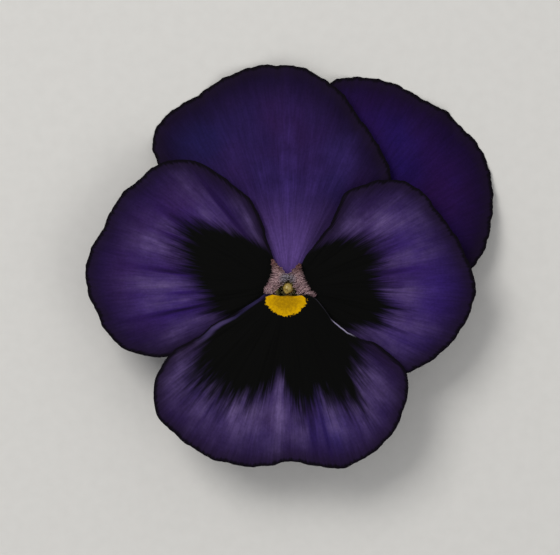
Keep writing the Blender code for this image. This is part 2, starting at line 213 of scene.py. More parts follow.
class Petal:
    """One petal's place, outline and marks.

    layer counts up from the rearmost petal. The claw stands on an arc round the azimuth foot and leaves
    the throat over the chord rim, (radius, azimuth, half angle), and aim is the middle of its fan.
    margin is its outline, clockwise, and shoulders number the two points where the outline turns from
    the sides into the front. waves is how many the margin has, and reflex is the azimuth and the depth
    of the petal's bend back. blotch is a list of (angle, reach). A gleam is (angle, distance, half
    angle, half length, strength), dark where its strength is below 0, and a cool patch is the same
    for a bluer tint.
    """

    def __init__(self, layer, foot, rim, aim, margin, shoulders, waves, seed, reflex=(0, 0), blotch=(),
                 gleams=(), cool=()):
        self.height = RIM_HEIGHT + LAYER_STEP * layer
        self.lift = MARGIN_LIFT if layer > 0 else 0
        self.foot = foot
        self.rim = rim
        self.aim = aim
        self.margin = np.array(margin, float)
        steps = np.linalg.norm(np.diff(self.margin, axis=0), axis=1)
        self.shoulders = np.append(0, np.cumsum(steps))[list(shoulders)] / steps.sum()
        self.waves = waves
        self.seed = seed
        self.reflex_aim = math.radians(reflex[0])
        self.reflex_deep = reflex[1]
        self.blotch = np.array(blotch, float).reshape(-1, 2)
        self.gleams = gleams
        self.cool = cool


UPPER_LEFT = Petal(
    1, 126, (2.15, 110, 34), 95,
    [(-20.2, 16.4), (-22.4, 21.4), (-23.3, 24.8), (-22.2, 28.2), (-19.2, 31.0), (-15.7, 33.0),
     (-11.3, 35.9), (-5.6, 38.1), (-1.4, 38.2), (2.6, 37.8), (7.2, 35.1), (9.9, 32.7), (11.6, 30.0),
     (13.7, 27.2), (15.7, 24.0), (17.1, 21.2), (17.6, 18.5), (16.4, 14.2)],
    shoulders=(0, -1), waves=6, seed=11, reflex=(145, 4.0),
    # dark gleams at 120 and 60 degrees: painted shade where this petal runs under the side petals
    gleams=[(90, 19, 4, 9, 0.55), (78, 17, 6, 7, 0.30), (101, 16, 5, 7, 0.3), (68, 23.5, 6, 5, 0.35),
            (112, 22, 6, 6, 0.2), (120, 9, 9, 6, -0.45), (60, 10, 9, 7, -0.5)],
    cool=[(124, 31, 10, 7, 0.9), (66, 25, 8, 6, 0.4)])
UPPER_RIGHT = Petal(
    0, 54, (2.15, 56, 18), 50,
    [(4.6, 31.0), (6.8, 34.9), (9.8, 36.1), (14.0, 36.1), (18.3, 35.1), (21.2, 33.6), (24.3, 31.8),
     (27.3, 30.3), (29.4, 28.0), (32.1, 25.4), (34.0, 22.1), (35.0, 18.1), (35.2, 14.4),
     (34.8, 11.0), (34.2, 8.0), (33.0, 5.3), (30.5, 2.6), (26.0, 0.6)],
    shoulders=(0, -1), waves=5.5, seed=12, reflex=(30, 1.4),
    gleams=[(51, 31.5, 9, 5, 0.3), (72, 33.5, 5, 4, 0.2), (28, 33, 8, 4, 0.15)],
    cool=[(50, 29, 10, 6, 0.5), (70, 36, 8, 5, -0.4), (22, 34, 9, 5, -0.4)])
SIDE_LEFT = Petal(
    2, 195, (2.1, 191, 30), 165,
    [(-4.4, -2.1), (-7.4, -4.8), (-12.5, -8.4), (-16.8, -10.6), (-20.9, -11.8), (-24.5, -11.5),
     (-28.1, -10.3), (-31.0, -7.5), (-32.7, -4.1), (-34.2, -0.7), (-34.6, 2.7), (-33.9, 6.2),
     (-31.8, 9.9), (-30.0, 13.7), (-28.1, 16.4), (-25.3, 18.7), (-22.4, 21.1), (-19.2, 21.9),
     (-15.9, 21.7), (-12.5, 20.0), (-9.6, 17.8), (-7.2, 15.9), (-5.5, 13.7), (-4.3, 10.8),
     (-3.3, 7.4), (-2.5, 5.1), (-1.9, 3.1)],
    shoulders=(5, 18), waves=6.5, seed=13,
    blotch=[(118, 6.5), (120.6, 8), (128, 10), (133, 12.7), (141, 16.3), (144, 18.3), (149, 20.2),
            (158, 19.3), (168, 17.4), (178, 15.6), (187, 13.8), (196, 14), (203, 12.3)],
    gleams=[(136, 19, 5, 6, 0.75), (121, 12.5, 3.5, 5, 0.7), (153, 24, 3, 3, 0.35), (162, 23, 6, 4.5, 0.9),
            (178, 21.5, 4, 5.5, 0.85), (187, 20, 3.5, 5.5, 0.8), (201.5, 18, 5, 5, 0.75),
            (172, 19.5, 1.0, 4.5, -0.85), (191.5, 18.5, 1.1, 5.5, -1.0), (148, 21, 1.3, 3.5, -0.7),
            (156, 20, 1.0, 4, -0.8), (182.5, 17.5, 0.8, 3, -0.5), (129, 17, 1.2, 4, -0.5)],
    cool=[(188, 20, 14, 7, 0.35), (160, 27, 26, 6, -0.25), (205, 26, 14, 6, -0.25)])
SIDE_RIGHT = Petal(
    2, 345, (2.1, 349, 30), 5,
    [(1.9, 3.3), (3.3, 5.8), (5.5, 8.6), (7.4, 11.3), (8.6, 14.0), (9.8, 16.3), (12.7, 17.6),
     (16.1, 18.5), (19.5, 18.3), (22.1, 17.1), (24.1, 15.2), (25.5, 13.2), (27.4, 10.8),
     (29.3, 7.9), (30.6, 5.0), (31.8, 1.9), (32.0, -0.9), (31.0, -4.4), (29.3, -7.5),
     (26.9, -10.4), (24.0, -12.7), (21.7, -13.9), (19.9, -14.5), (15.7, -13.3), (11.0, -9.9),
     (6.3, -5.1), (3.5, -2.1)],
    shoulders=(5, 22), waves=6.5, seed=14,
    blotch=[(-34, 12.5), (-32, 13.6), (-25.6, 15.2), (-21.4, 17.3), (-16.3, 16.5), (-10.8, 18.3),
            (-6.3, 16), (2.4, 15.6), (9.6, 15.4), (15.3, 16.2), (23, 16.4), (29.8, 15.8), (35.3, 14.4),
            (39.4, 12.8), (45.6, 11.3), (51, 9.2), (55.5, 8.1), (64, 6.1)],
    gleams=[(36, 19, 8, 4.5, 0.75), (47, 14.5, 6, 4, 0.5), (28, 23, 6, 3.5, 0.5), (-2, 19.5, 5, 4, 0.8),
            (-16, 20.5, 5.5, 4.5, 0.8), (-29, 18, 6, 5, 0.75), (14, 20, 5, 4.5, 0.6),
            (18, 25, 5, 3, 0.3), (58, 9.5, 4, 4, 0.35), (9, 18.5, 1.2, 4, -0.5)],
    cool=[(30, 26, 12, 5, 0.5), (0, 26, 16, 5, 0.9), (-28, 24, 10, 6, 0.9)])
LOWER = Petal(
    3, 270, (1.88, 270, 40), 270,
    [(3.3, -1.1), (4.8, -1.9), (6.2, -3.6), (7.5, -5.3), (9.6, -7.2), (12.0, -8.4), (15.2, -9.6),
     (17.5, -11.3), (19.5, -13.2), (20.3, -14.8), (20.5, -17.1), (20.0, -19.9), (18.7, -23.3),
     (16.8, -26.0), (14.0, -28.4), (10.6, -30.3), (7.9, -30.8), (4.8, -30.3), (2.1, -29.8),
     (-0.5, -29.6), (-3.1, -30.3), (-6.2, -30.5), (-9.6, -30.0), (-13.0, -29.1), (-16.4, -27.2),
     (-19.2, -25.0), (-22.1, -22.1), (-22.9, -18.8), (-22.6, -15.4), (-21.2, -12.7),
     (-18.8, -10.1), (-15.2, -8.3), (-12.8, -6.1), (-10.4, -5.1), (-7.9, -3.6), (-5.3, -2.0),
     (-3.9, -0.9)],
    shoulders=(9, 27), waves=7, seed=15,
    blotch=[(200, 2.5), (202, 3.5), (205.5, 5), (207.7, 7.7), (210.4, 13.4), (212.5, 16.2), (215, 19),
            (219.5, 20.9), (226.5, 22), (235.5, 21.6), (246, 20.6), (257, 18.8), (260, 17.1),
            (263, 14.9), (267, 14.9), (269, 16.9), (272, 19.3), (279.7, 21.3), (284, 18.9),
            (289, 20.1), (300, 22.5), (304, 22.4), (305.4, 19.5), (311, 18.3), (318, 17), (325, 15.6),
            (335, 15)],
    gleams=[(266, 19.5, 3.5, 7, 0.95), (254, 22, 7, 5, 0.75), (236, 22.5, 5, 5, 0.75),
            (221, 23.5, 7, 4.5, 0.65), (246, 21.5, 3, 5, 0.6), (289, 22, 4, 5, 0.8), (275, 23, 4, 4, 0.5),
            (302, 23, 5, 4.5, 0.6), (312, 20.5, 6, 5, 0.6), (211, 17.5, 3, 5, 0.7),
            (290, 19, 0.8, 2.5, 0.6), (299.5, 18.5, 0.8, 2, 0.6), (237, 23, 0.8, 4, -0.6),
            (279.5, 22.5, 1.2, 4, -0.5), (284.5, 24, 0.7, 4, -0.35)],
    cool=[(288, 23.5, 4, 6, 0.5), (300, 27.5, 16, 4, 0.5), (262, 27.5, 20, 3, 0.35)])

# each petal's form, the node that it stands for, its slot and its velvet
PETALS = {
    "upper_left_petal": (UPPER_LEFT, "petal_upper_left", "upper_petal_violet", "upper_petal_velvet"),
    "upper_right_petal": (UPPER_RIGHT, "petal_upper_right", "rear_petal_indigo", "rear_petal_velvet"),
    "left_petal": (SIDE_LEFT, "petal_side_left", "faced_petal_violet", "faced_petal_velvet"),
    "right_petal": (SIDE_RIGHT, "petal_side_right", "faced_petal_violet", "faced_petal_velvet"),
    "lower_petal": (LOWER, "petal_lower", "lower_petal_violet", "lower_petal_velvet"),
}


def ease(x):
    """Smooth step from 0 to 1."""
    x = np.clip(x, 0, 1)
    return x * x * (3 - 2 * x)


def grown(x, start, span):
    """Smooth step of x from 0 at the start to 1 a span further on, or further back if it is below 0."""
    return ease((x - start) / span)


def unit_grid(rows, columns):
    """Two parameters from 0 to 1: u down the rows of a grid, and v across its columns."""
    return np.meshgrid(np.linspace(0, 1, rows), np.linspace(0, 1, columns), indexing="ij")


def smooth_curve(points, t):
    """Catmull-Rom curve through the points, read at t from 0 to 1 of its chord length."""
    p = np.array(points, float)
    steps = np.linalg.norm(np.diff(p, axis=0), axis=1)
    knots = np.concatenate([[0], np.cumsum(steps)]) / steps.sum()
    p = np.vstack([2 * p[0] - p[1], p, 2 * p[-1] - p[-2]])
    i = np.clip(np.searchsorted(knots, t, side="right") - 1, 0, len(knots) - 2)
    f = ((t - knots[i]) / (knots[i + 1] - knots[i]))[..., None]
    a, b, c, d = p[i], p[i + 1], p[i + 2], p[i + 3]
    curve = 2 * b + (c - a) * f + (2 * a - 5 * b + 4 * c - d) * f**2 + (3 * b - a - 3 * c + d) * f**3
    return curve / 2


def chord(radius, azimuth, half, v):
    """Point at v along the straight line that spans a sector of a circle, clockwise."""
    start = math.radians(azimuth + half)
    end = math.radians(azimuth - half)
    first = np.array([math.cos(start), math.sin(start)]) * radius
    last = np.array([math.cos(end), math.sin(end)]) * radius
    return first + (last - first) * v[..., None]


def mixed_sines(x, cycles, seed):
    """Uneven wave of x: sines of the given cycles a unit, each half as strong as its slower neighbour
    is long, with phases drawn from the seed, and the sum scaled to run between -1 and 1."""
    phases = np.random.default_rng(seed).uniform(0, TAU, len(cycles))
    strength = cycles[0] / np.array(cycles)
    waves = [s * np.sin(TAU * c * x + p) for s, c, p in zip(strength, cycles, phases)]
    return sum(waves) / strength.sum()


def face_height(x, y):
    """Height of the bloom's face against the throat: a tilt, a droop outwards and ripples."""
    r = np.hypot(x, y)
    around = np.arctan2(y, x)
    upper = ease((np.cos(around - DROOP_AIM) + 0.25) / 1.25)
    droop = (DROOP_LOW + (DROOP_HIGH - DROOP_LOW) * upper) * (r / REACH)**2
    wave = 0.6 * np.sin(8 * around + 0.5) + 0.4 * np.sin(13 * around + 2.0)
    return RIPPLE * wave * (r / REACH)**4 - TILT * y - droop


def outline_of(petal):
    """Edge of a petal in plan, clockwise: straight out from the rim, round the margin on a smooth curve,
    and straight back. Returns the line and each point's place along the margin, which runs from 0 to 1
    there, from -1 on the way out and up to 2 on the way back."""
    place = np.linspace(0, 1, OUTLINE_STEPS)
    margin = smooth_curve(petal.margin, place)
    ahead = np.gradient(margin, axis=0)
    outward = np.stack([-ahead[:, 1], ahead[:, 0]], axis=-1)
    outward /= np.linalg.norm(ahead, axis=1, keepdims=True)
    fray = FRAY * mixed_sines(place, (19, 34, 61, 89, 127), petal.seed)
    fray = fray * ease(place * FRAY_ENDS) * ease(FRAY_ENDS - place * FRAY_ENDS)
    for shoulder in petal.shoulders:
        fray = fray * (1 - np.exp(-((place - shoulder) / FRAY_CALM)**2))
    margin = margin + outward * fray[:, None]
    first, last = chord(*petal.rim, np.array([0.0, 1.0]))
    way = np.linspace(0, 1, OUTLINE_STEPS // 10, endpoint=False)
    out = first + (margin[0] - first) * way[:, None]
    back = last + (margin[-1] - last) * way[:, None]
    return np.concatenate([out, margin, back[::-1]]), np.concatenate([way - 1, place, 2 - way[::-1]])


def stretch(line, places, start, end, share):
    """Point and place at a share of the way along a line from one place to another, by length."""
    length = np.append(0, np.cumsum(np.linalg.norm(np.diff(line, axis=0), axis=1)))
    low, high = np.interp([start, end], places, length)
    here = low + (high - low) * share
    point = np.stack([np.interp(here, length, line[:, i]) for i in (0, 1)], axis=-1)
    return point, np.interp(here, length, places)


def blade_plan(petal, line, places, out, blade, v):
    """Plan of a petal's blade and each point's place along the margin: a Coons patch, which is the blend
    of its two sides, plus the blend of rim and front, less the blend of their four corners. out is how
    far the claw's bend has carried a row outwards, and blade its share of the rest of the way."""
    left, right = petal.shoulders
    rim = chord(*petal.rim, v)
    front, front_place = stretch(line, places, left, right, v)
    reach = np.linalg.norm(front - rim, axis=-1)
    s = (out + (reach - BEND) * blade) / reach
    side_a, place_a = stretch(line, places, -1, left, s)
    side_b, place_b = stretch(line, places, 2, right, s)
    v1, s1 = v[..., None], s[..., None]
    corners = ((1 - s1) * ((1 - v1) * line[0] + v1 * line[-1])
               + s1 * ((1 - v1) * front[:, :1] + v1 * front[:, -1:]))
    plan = (1 - v1) * side_a + v1 * side_b + (1 - s1) * rim + s1 * front - corners
    place = (1 - v) * place_a + v * place_b + s * (front_place - (1 - v) * left - v * right)
    return plan, np.clip(place, 0, 1)


def blade_relief(petal, place, edge, angle, distance):
    """Height that a petal's own form adds to the face: sine waves and a lift that die away from the
    margin, and veins and pleats that run outwards."""
    wave = MARGIN_WAVE * np.sin(math.pi * place)**2 * np.sin(petal.waves * TAU * place)
    wave = wave * np.exp(-edge / WAVE_WIDE) * grown(distance, *WAVE_FROM)
    lift = petal.lift * (0.55 + 0.45 * mixed_sines(place, (4, 7, 11), petal.seed + 60))
    lift = lift * np.exp(-edge / LIFT_WIDE) * grown(distance, *LIFT_FROM)
    veins = VEIN_RELIEF * mixed_sines(angle, (9.1, 13.3, 17.9), petal.seed + 20)
    pleats = PLEAT_RELIEF * mixed_sines(angle, (1.3, 2.1, 3.4), petal.seed + 40)
    return wave + lift + (veins + pleats) * grown(distance, *RELIEF_FROM)


def petal_grid(petal):
    """Middle surface of a petal, rows from foot to margin and columns clockwise, and each point's
    distance in plan from the margin and from the whole outline.

    The claw climbs from its foot to the throat's rim and turns outwards through a quarter circle.
    The blade's height is the face's, less a bend back that grows with the square of the distance
    beyond REFLEX_START, plus the petal's own relief.
    """
    u, v = unit_grid(PETAL_ROWS, PETAL_COLUMNS)
    line, places = outline_of(petal)
    climb = petal.height - BEND - FOOT_HEIGHT
    path = np.minimum(u / CLAW_SHARE, 1) * (climb + BEND * math.pi / 2)
    turn = np.clip((path - climb) / BEND, 0, math.pi / 2)
    blade = 1 - (1 - np.maximum(u - CLAW_SHARE, 0) / (1 - CLAW_SHARE))**ROW_BUNCH
    plan, place = blade_plan(petal, line, places, BEND * (1 - np.cos(turn)), blade, v)
    foot = chord(FOOT_RADIUS, petal.foot, FOOT_HALF, v)
    plan = plan + (foot - chord(*petal.rim, v)) * (1 - ease(path / climb))[..., None]

    edge = line_distance(plan, line[(places >= 0) & (places <= 1)])
    outline = line_distance(plan, line)
    x, y = plan[..., 0], plan[..., 1]
    corner = x * math.cos(petal.reflex_aim) + y * math.sin(petal.reflex_aim)
    reflex = petal.reflex_deep * np.maximum((corner - REFLEX_START) / REFLEX_SPAN, 0)**2
    z = FOOT_HEIGHT + np.minimum(path, climb) + BEND * np.sin(turn) + face_height(x, y) - reflex
    z = z + blade_relief(petal, place, edge, *fan_of(x, y, petal))
    return np.stack([x, y, z], axis=-1), edge, outline


def fan_of(x, y, petal):
    """Angle about the throat from the petal's own aim, in radians, and distance from the throat."""
    turned = np.arctan2(y, x) - math.radians(petal.aim)
    return np.arctan2(np.sin(turned), np.cos(turned)), np.hypot(x, y)


def line_distance(plan, line):
    """Distance in plan from each point of a grid to the nearest stretch of a line."""
    start = line[:-1].T[:, None]
    step = np.diff(line, axis=0).T[:, None]
    square = (step**2).sum(axis=0)
    rows = []
    for spots in plan:
        off = spots.T[:, :, None] - start
        share = np.clip((off * step).sum(axis=0) / square, 0, 1)
        rows.append(np.hypot(*(off - share * step)).min(axis=1))
    return np.array(rows)


def petal_fields(petal, middle, edge):
    """Values that the skin's pattern follows: fan, marks and extras, each a vector at every point.

    fan is (angle, distance, petal's number). marks is (distance over the blotch's reach there, distance
    to the margin, gleam). extras is (distance over the yellow eye's reach, the margin's line, cool):
    the line is above 0 where the margin has painted light for a rolled-up edge, and below 0 where it
    has a painted highlight.
    Each gleam or cool patch is a bell, its strength times exp(-a^2 - d^2), where a and d are how far
    off its middle a point is in angle and in distance, as shares of its half sizes.
    """
    x, y = middle[..., 0], middle[..., 1]
    angle, distance = fan_of(x, y, petal)
    degrees = petal.aim + np.degrees(angle)
    ratio = np.full_like(x, UNMARKED)
    if len(petal.blotch):
        ratio = distance / np.interp(degrees, petal.blotch[:, 0], petal.blotch[:, 1])
    gleam, cool = (sum((power * np.exp(-((degrees - aim) / wide)**2 - ((distance - far) / long)**2)
                        for aim, far, wide, long, power in patches), np.zeros_like(x))
                   for patches in (petal.gleams, petal.cool))
    eye = np.full_like(x, UNMARKED)
    line = np.zeros_like(x)
    if petal is LOWER:
        eye = eye_ratio(x, y)
        line = np.where(x < 0, roll_light_of(distance, edge), -shine_of(distance, edge))
    return {
        "fan": np.stack([angle, distance, np.full_like(x, petal.seed)], axis=-1),
        "marks": np.stack([ratio, edge, gleam], axis=-1),
        "extras": np.stack([eye, line, cool], axis=-1),
    }


def roll_light_of(distance, edge):
    """How much painted light the lower petal's left margin has, standing for the margin rolled up in the
    light. It starts at the throat, widens outwards and fades at its end, and from ROLL_SHADOW_START
    outwards a painted shadow line lies outside it."""
    wide = ROLL_LIGHT_WIDE + ROLL_LIGHT_WIDENS * np.maximum(distance - ROLL_LIGHT_START, 0)
    roll_light = grown(distance, ROLL_LIGHT_START, 1.2) * grown(distance, ROLL_LIGHT_END, -6)
    roll_light = roll_light * ease((wide * 1.25 - edge) / (0.5 * wide))
    return roll_light * (1 - grown(distance, ROLL_SHADOW_START, 3) * grown(edge, ROLL_SHADOW_WIDE, -0.2))


def shine_of(distance, edge):
    """How much painted highlight the lower petal's right margin has, as if it caught the light: a thin
    glimmer near the throat, and from SHINE_BRIGHT outwards a bright line that widens and then fades."""
    bright = grown(distance, SHINE_BRIGHT, 1.2) * grown(distance, SHINE_END, -2.5)
    shine = 0.03 + 0.06 * grown(distance, 8, -3) + 0.9 * bright
    wide = SHINE_WIDE + 0.09 * grown(distance, 9, 2.5)
    shine = shine * grown(distance, SHINE_START, 1.0) * grown(distance, SHINE_END, -1.0)
    return shine * ease((wide - edge) / 0.1)


def eye_ratio(x, y):
    """Distance from the yellow eye's middle over the eye's reach, from two halves of superellipses:
    |east / wide|^p + |north / tall|^p = 1, with a blunt top and a bottom that comes to a soft point."""
    east = np.abs(x - EYE_MIDDLE[0]) / EYE_WIDE
    north = y - EYE_MIDDLE[1]
    top, bottom = ((east**power + np.abs(north / tall)**power)**(1 / power)
                   for tall, power in ((EYE_ABOVE, EYE_BLUNT), (EYE_BELOW, EYE_POINTED)))
    return np.where(north > 0, top, bottom)


def placed(points):
    """Millimetres from the throat's axis, turned to metres in the frame's own place."""
    return np.asarray(points, float) * MM + THROAT


def grid_quads(index, closed=False):
    """Four corners of each cell of a grid of point numbers, its columns joined in a ring if closed."""
    if closed:
        index = np.concatenate([index, index[:, :1]], axis=1)
    return np.stack([index[:-1, :-1], index[:-1, 1:], index[1:, 1:], index[1:, :-1]], axis=-1).reshape(-1, 4)


def add_piece(name, shape, materials, nodes=(), fields=None, parts=None):
    """Make a smoothly shaded piece that rides on the bloom and stands for the named nodes.

    shape is its points and its groups of faces, and parts each group's number in the materials. A
    field has a vector for each point, and a sheet's is used again for its underside.
    """
    points, faces = shape
    mesh = bpy.data.meshes.new(name)
    mesh.from_pydata(placed(points).tolist(), [], [face for group in faces for face in group.tolist()])
    for material in materials:
        mesh.materials.append(material)
    if parts:
        numbers = np.repeat(parts, [len(group) for group in faces])
        mesh.polygons.foreach_set("material_index", numbers.astype(np.int32))
    for field, values in (fields or {}).items():
        layer = mesh.attributes.new(field, "FLOAT_VECTOR", "POINT")
        layer.data.foreach_set("vector", np.resize(values, (len(points), 3)).astype(np.float32).ravel())
    mesh.shade_smooth()
    mesh.update()
    piece = bpy.data.objects.new(name, mesh)
    bpy.context.scene.collection.objects.link(piece)
    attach(piece, "root")
    if nodes:
        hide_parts(*nodes)


def closed_sheet(middle, thick):
    """Points and faces of a thin closed sheet: the grid moved half the thickness both ways along its
    normal, which is the cross product of its two directions, and joined round the border. Returns
    the faces as front, back and border."""
    down = np.gradient(middle, axis=0)
    across = np.gradient(middle, axis=1)
    normal = np.cross(across, down)
    normal /= np.maximum(np.linalg.norm(normal, axis=-1, keepdims=True), 1e-9)
    half = normal * thick[..., None] / 2
    points = np.concatenate([(middle + half).reshape(-1, 3), (middle - half).reshape(-1, 3)])
    count = middle.shape[0] * middle.shape[1]
    index = np.arange(count).reshape(middle.shape[:2])
    front = grid_quads(index)
    loop = np.concatenate([index[0, :-1], index[:-1, -1], index[-1, :0:-1], index[:0:-1, 0]])
    following = np.roll(loop, -1)
    border = np.stack([following, loop, loop + count, following + count], axis=-1)
    return points, [front, front[:, ::-1] + count, border]


def closed_tubes(rings):
    """Points and faces of closed tubes from an array of (tube, ring, side, xyz): each ring is joined
    to the next, and each end closes in a pole at the middle of its ring."""
    tubes, steps, sides = rings.shape[:3]
    poles = rings[:, [0, -1]].mean(axis=2)
    points = np.concatenate([rings.reshape(-1, 3), poles.reshape(-1, 3)])
    index = np.arange(tubes * steps * sides).reshape(tubes, steps, sides)
    around = np.roll(index, -1, axis=2)
    walls = np.stack([index[:, :-1], around[:, :-1], around[:, 1:], index[:, 1:]], axis=-1).reshape(-1, 4)
    pole = tubes * steps * sides + np.arange(tubes * 2).reshape(tubes, 2, 1)
    ends = [np.stack(np.broadcast_arrays(pole[:, i], one[:, i], other[:, i]), axis=-1).reshape(-1, 3)
            for i, one, other in ((0, around, index), (-1, index, around))]
    return points, [walls, *ends]


def merged(shapes):
    """Several shapes as one: their points in turn, and their faces joined group by group."""
    starts = np.cumsum([0] + [len(points) for points, _ in shapes])
    shifted = [[faces + start for faces in groups] for (_, groups), start in zip(shapes, starts)]
    return np.concatenate([points for points, _ in shapes]), [np.concatenate(g) for g in zip(*shifted)]


def upright(z):
    """One path straight up the throat's axis, through the given heights."""
    return np.column_stack([np.zeros_like(z), np.zeros_like(z), z])[None]


def swept_rings(path, radii, sides, shape=None, up=(1.0, 0.0, 0.0)):
    """Rings of (tube, ring, side, xyz) along paths of (tube, ring, xyz).

    Each ring lies square to its path, with its first side towards the up vector, and has the given
    radius times shape(angle) where a shape is given.
    """
    ahead = np.gradient(path, axis=1)
    ahead /= np.maximum(np.linalg.norm(ahead, axis=-1, keepdims=True), 1e-9)
    first = np.asarray(up) - ahead * (ahead @ np.asarray(up))[..., None]
    first /= np.maximum(np.linalg.norm(first, axis=-1, keepdims=True), 1e-9)
    second = np.cross(ahead, first)
    angle = np.arange(sides) / sides * TAU
    spread = radii[..., None] * (shape(angle) if shape else np.ones(sides))
    return (path[:, :, None] + first[:, :, None] * (spread * np.cos(angle))[..., None]
            + second[:, :, None] * (spread * np.sin(angle))[..., None])


def srgb(value):
    """Linear colour of an sRGB hex value."""
    parts = [int(value[i:i + 2], 16) / 255 for i in (1, 3, 5)]
    return (*[p / 12.92 if p <= 0.04045 else ((p + 0.055) / 1.055)**2.4 for p in parts], 1)


def node(tree, kind, inputs=None, **settings):
    """Add a node with its settings, give each named or numbered input a value or a link, and return
    its outputs.

    A Map Range's numbered inputs are the value, from low, from high, to low and to high. A colour
    Mix's are the share, 0, and its two colours, 6 and 7.
    """
    made = tree.nodes.new("ShaderNode" + kind)
    for name, value in settings.items():
        setattr(made, name, value)
    for socket, value in (inputs or {}).items():
        if isinstance(value, bpy.types.NodeSocket):
            tree.links.new(value, made.inputs[socket])
        else:
            made.inputs[socket].default_value = value
    return made.outputs


def new_material(name, **values):
    """A material whose Principled shader has the given values, and a function that adds its nodes."""
    material = bpy.data.materials.new(name)
    material.use_nodes = True
    shader = material.node_tree.nodes["Principled BSDF"]
    for socket, value in values.items():
        shader.inputs[socket.replace("_", " ")].default_value = value
    return material, functools.partial(node, material.node_tree)


def dressed(material, colour, relief=None):
    """The material, with its shader given a colour and a relief."""
    shader = material.node_tree.nodes["Principled BSDF"]
    material.node_tree.links.new(colour, shader.inputs["Base Color"])
    if relief:
        material.node_tree.links.new(relief, shader.inputs["Normal"])
    return material


def spread_noise(add, vector, scale, low=0.0, high=1.0):
    """Soft noise with its middle spread out, so that it runs all the way from low to high."""
    noise = add("TexNoise", {"Vector": vector, "Scale": scale, "Detail": 2})[0]
    return add("MapRange", {0: noise, 1: 0.33, 2: 0.67, 3: low, 4: high})[0]


def layered(add, colour, layers):
    """Colour with layers laid over it in turn, each by its share and in its own colour."""
    for share, tone in layers:
        colour = add("Mix", {0: share, 6: colour, 7: srgb(tone)}, data_type="RGBA")[2]
    return colour


def margin_layers(add, edge, fine):
    """Painted shade at the margin and a near-black painted shadow line at its edge, both wandering with the
    finest streaks.
    """
    wander = add("Math", {0: fine, 1: 0.35, 2: edge}, operation="MULTIPLY_ADD")[0]
    shaded = add("MapRange", {0: wander, 1: 3.0, 2: 0.5, 4: 0.6}, **SMOOTH)[0]
    # near-black painted shadow line along the petal's edge
    edge_shadow = add("MapRange", {0: wander, 1: 1.0, 2: 0.45, 4: 0.92}, **SMOOTH)[0]
    return [(shaded, "#1b1221"), (edge_shadow, "#0a070b")]


def blotch_layers(add, ratio, medium, fine):
    """The black blotch in its dark halo, both ragged along the streaks."""
    ragged = add("Math", {0: medium, 1: 0.12, 2: ratio}, operation="MULTIPLY_ADD")[0]
    ragged = add("Math", {0: fine, 1: 0.08, 2: ragged}, operation="MULTIPLY_ADD")[0]
    halo = add("MapRange", {0: ragged, 1: 1.36, 2: 1.06, 4: 0.62}, **SMOOTH)[0]
    blotch = add("MapRange", {0: ragged, 1: 1.20, 2: 0.98}, **SMOOTH)[0]
    return [(halo, "#100b18"), (blotch, "#080807")]


def margin_light_layers(add, line, distance, medium):
    """Painted light on the lower petal's margins: a band on the left for its edge rolled up in the light,
    greyer towards its far end, and a painted highlight on the right.
    """
    combed = add("MapRange", {0: medium, 3: 0.5, 4: 1.0})[0]
    # share of the painted light for the rolled-up left margin
    roll_light = add("Math", {0: line, 1: combed}, operation="MULTIPLY", use_clamp=True)[0]
    greyer = add("MapRange", {0: distance, 1: 9.5, 2: 13.0}, **SMOOTH)[0]
    greyer = add("Math", {0: roll_light, 1: greyer}, operation="MULTIPLY")[0]
    # painted highlight along the right margin
    shine = add("Math", {0: line, 1: -1.0}, operation="MULTIPLY", use_clamp=True)[0]
    return [(roll_light, "#2b2547"), (greyer, "#45395f"), (shine, "#9d95ae")]


def throat_layers(add, distance, eye, place, velvet):
    """The olive claw below the throat's rim, and the yellow eye, beaded at its edge, golden inside."""
    claw = add("MapRange", {0: distance, 1: 2.55, 2: 2.25})[0]
    beads = spread_noise(add, place, 1 / (0.35 * MM), -0.07, 0.07)
    beaded = add("Math", {0: beads, 1: eye}, operation="ADD")[0]
    yellow = add("MapRange", {0: beaded, 1: 1.04, 2: 0.99})[0]
    golden = add("MapRange", {0: beaded, 1: 0.95, 2: 0.45, 4: 0.7})[0]
    golden = add("Math", {0: velvet, 1: 2.5, 2: golden}, operation="MULTIPLY_ADD", use_clamp=True)[0]
    golden = add("Math", {0: yellow, 1: golden}, operation="MULTIPLY")[0]
    return [(claw, "#8d8453"), (yellow, "#d9a600"), (golden, "#a37904")]


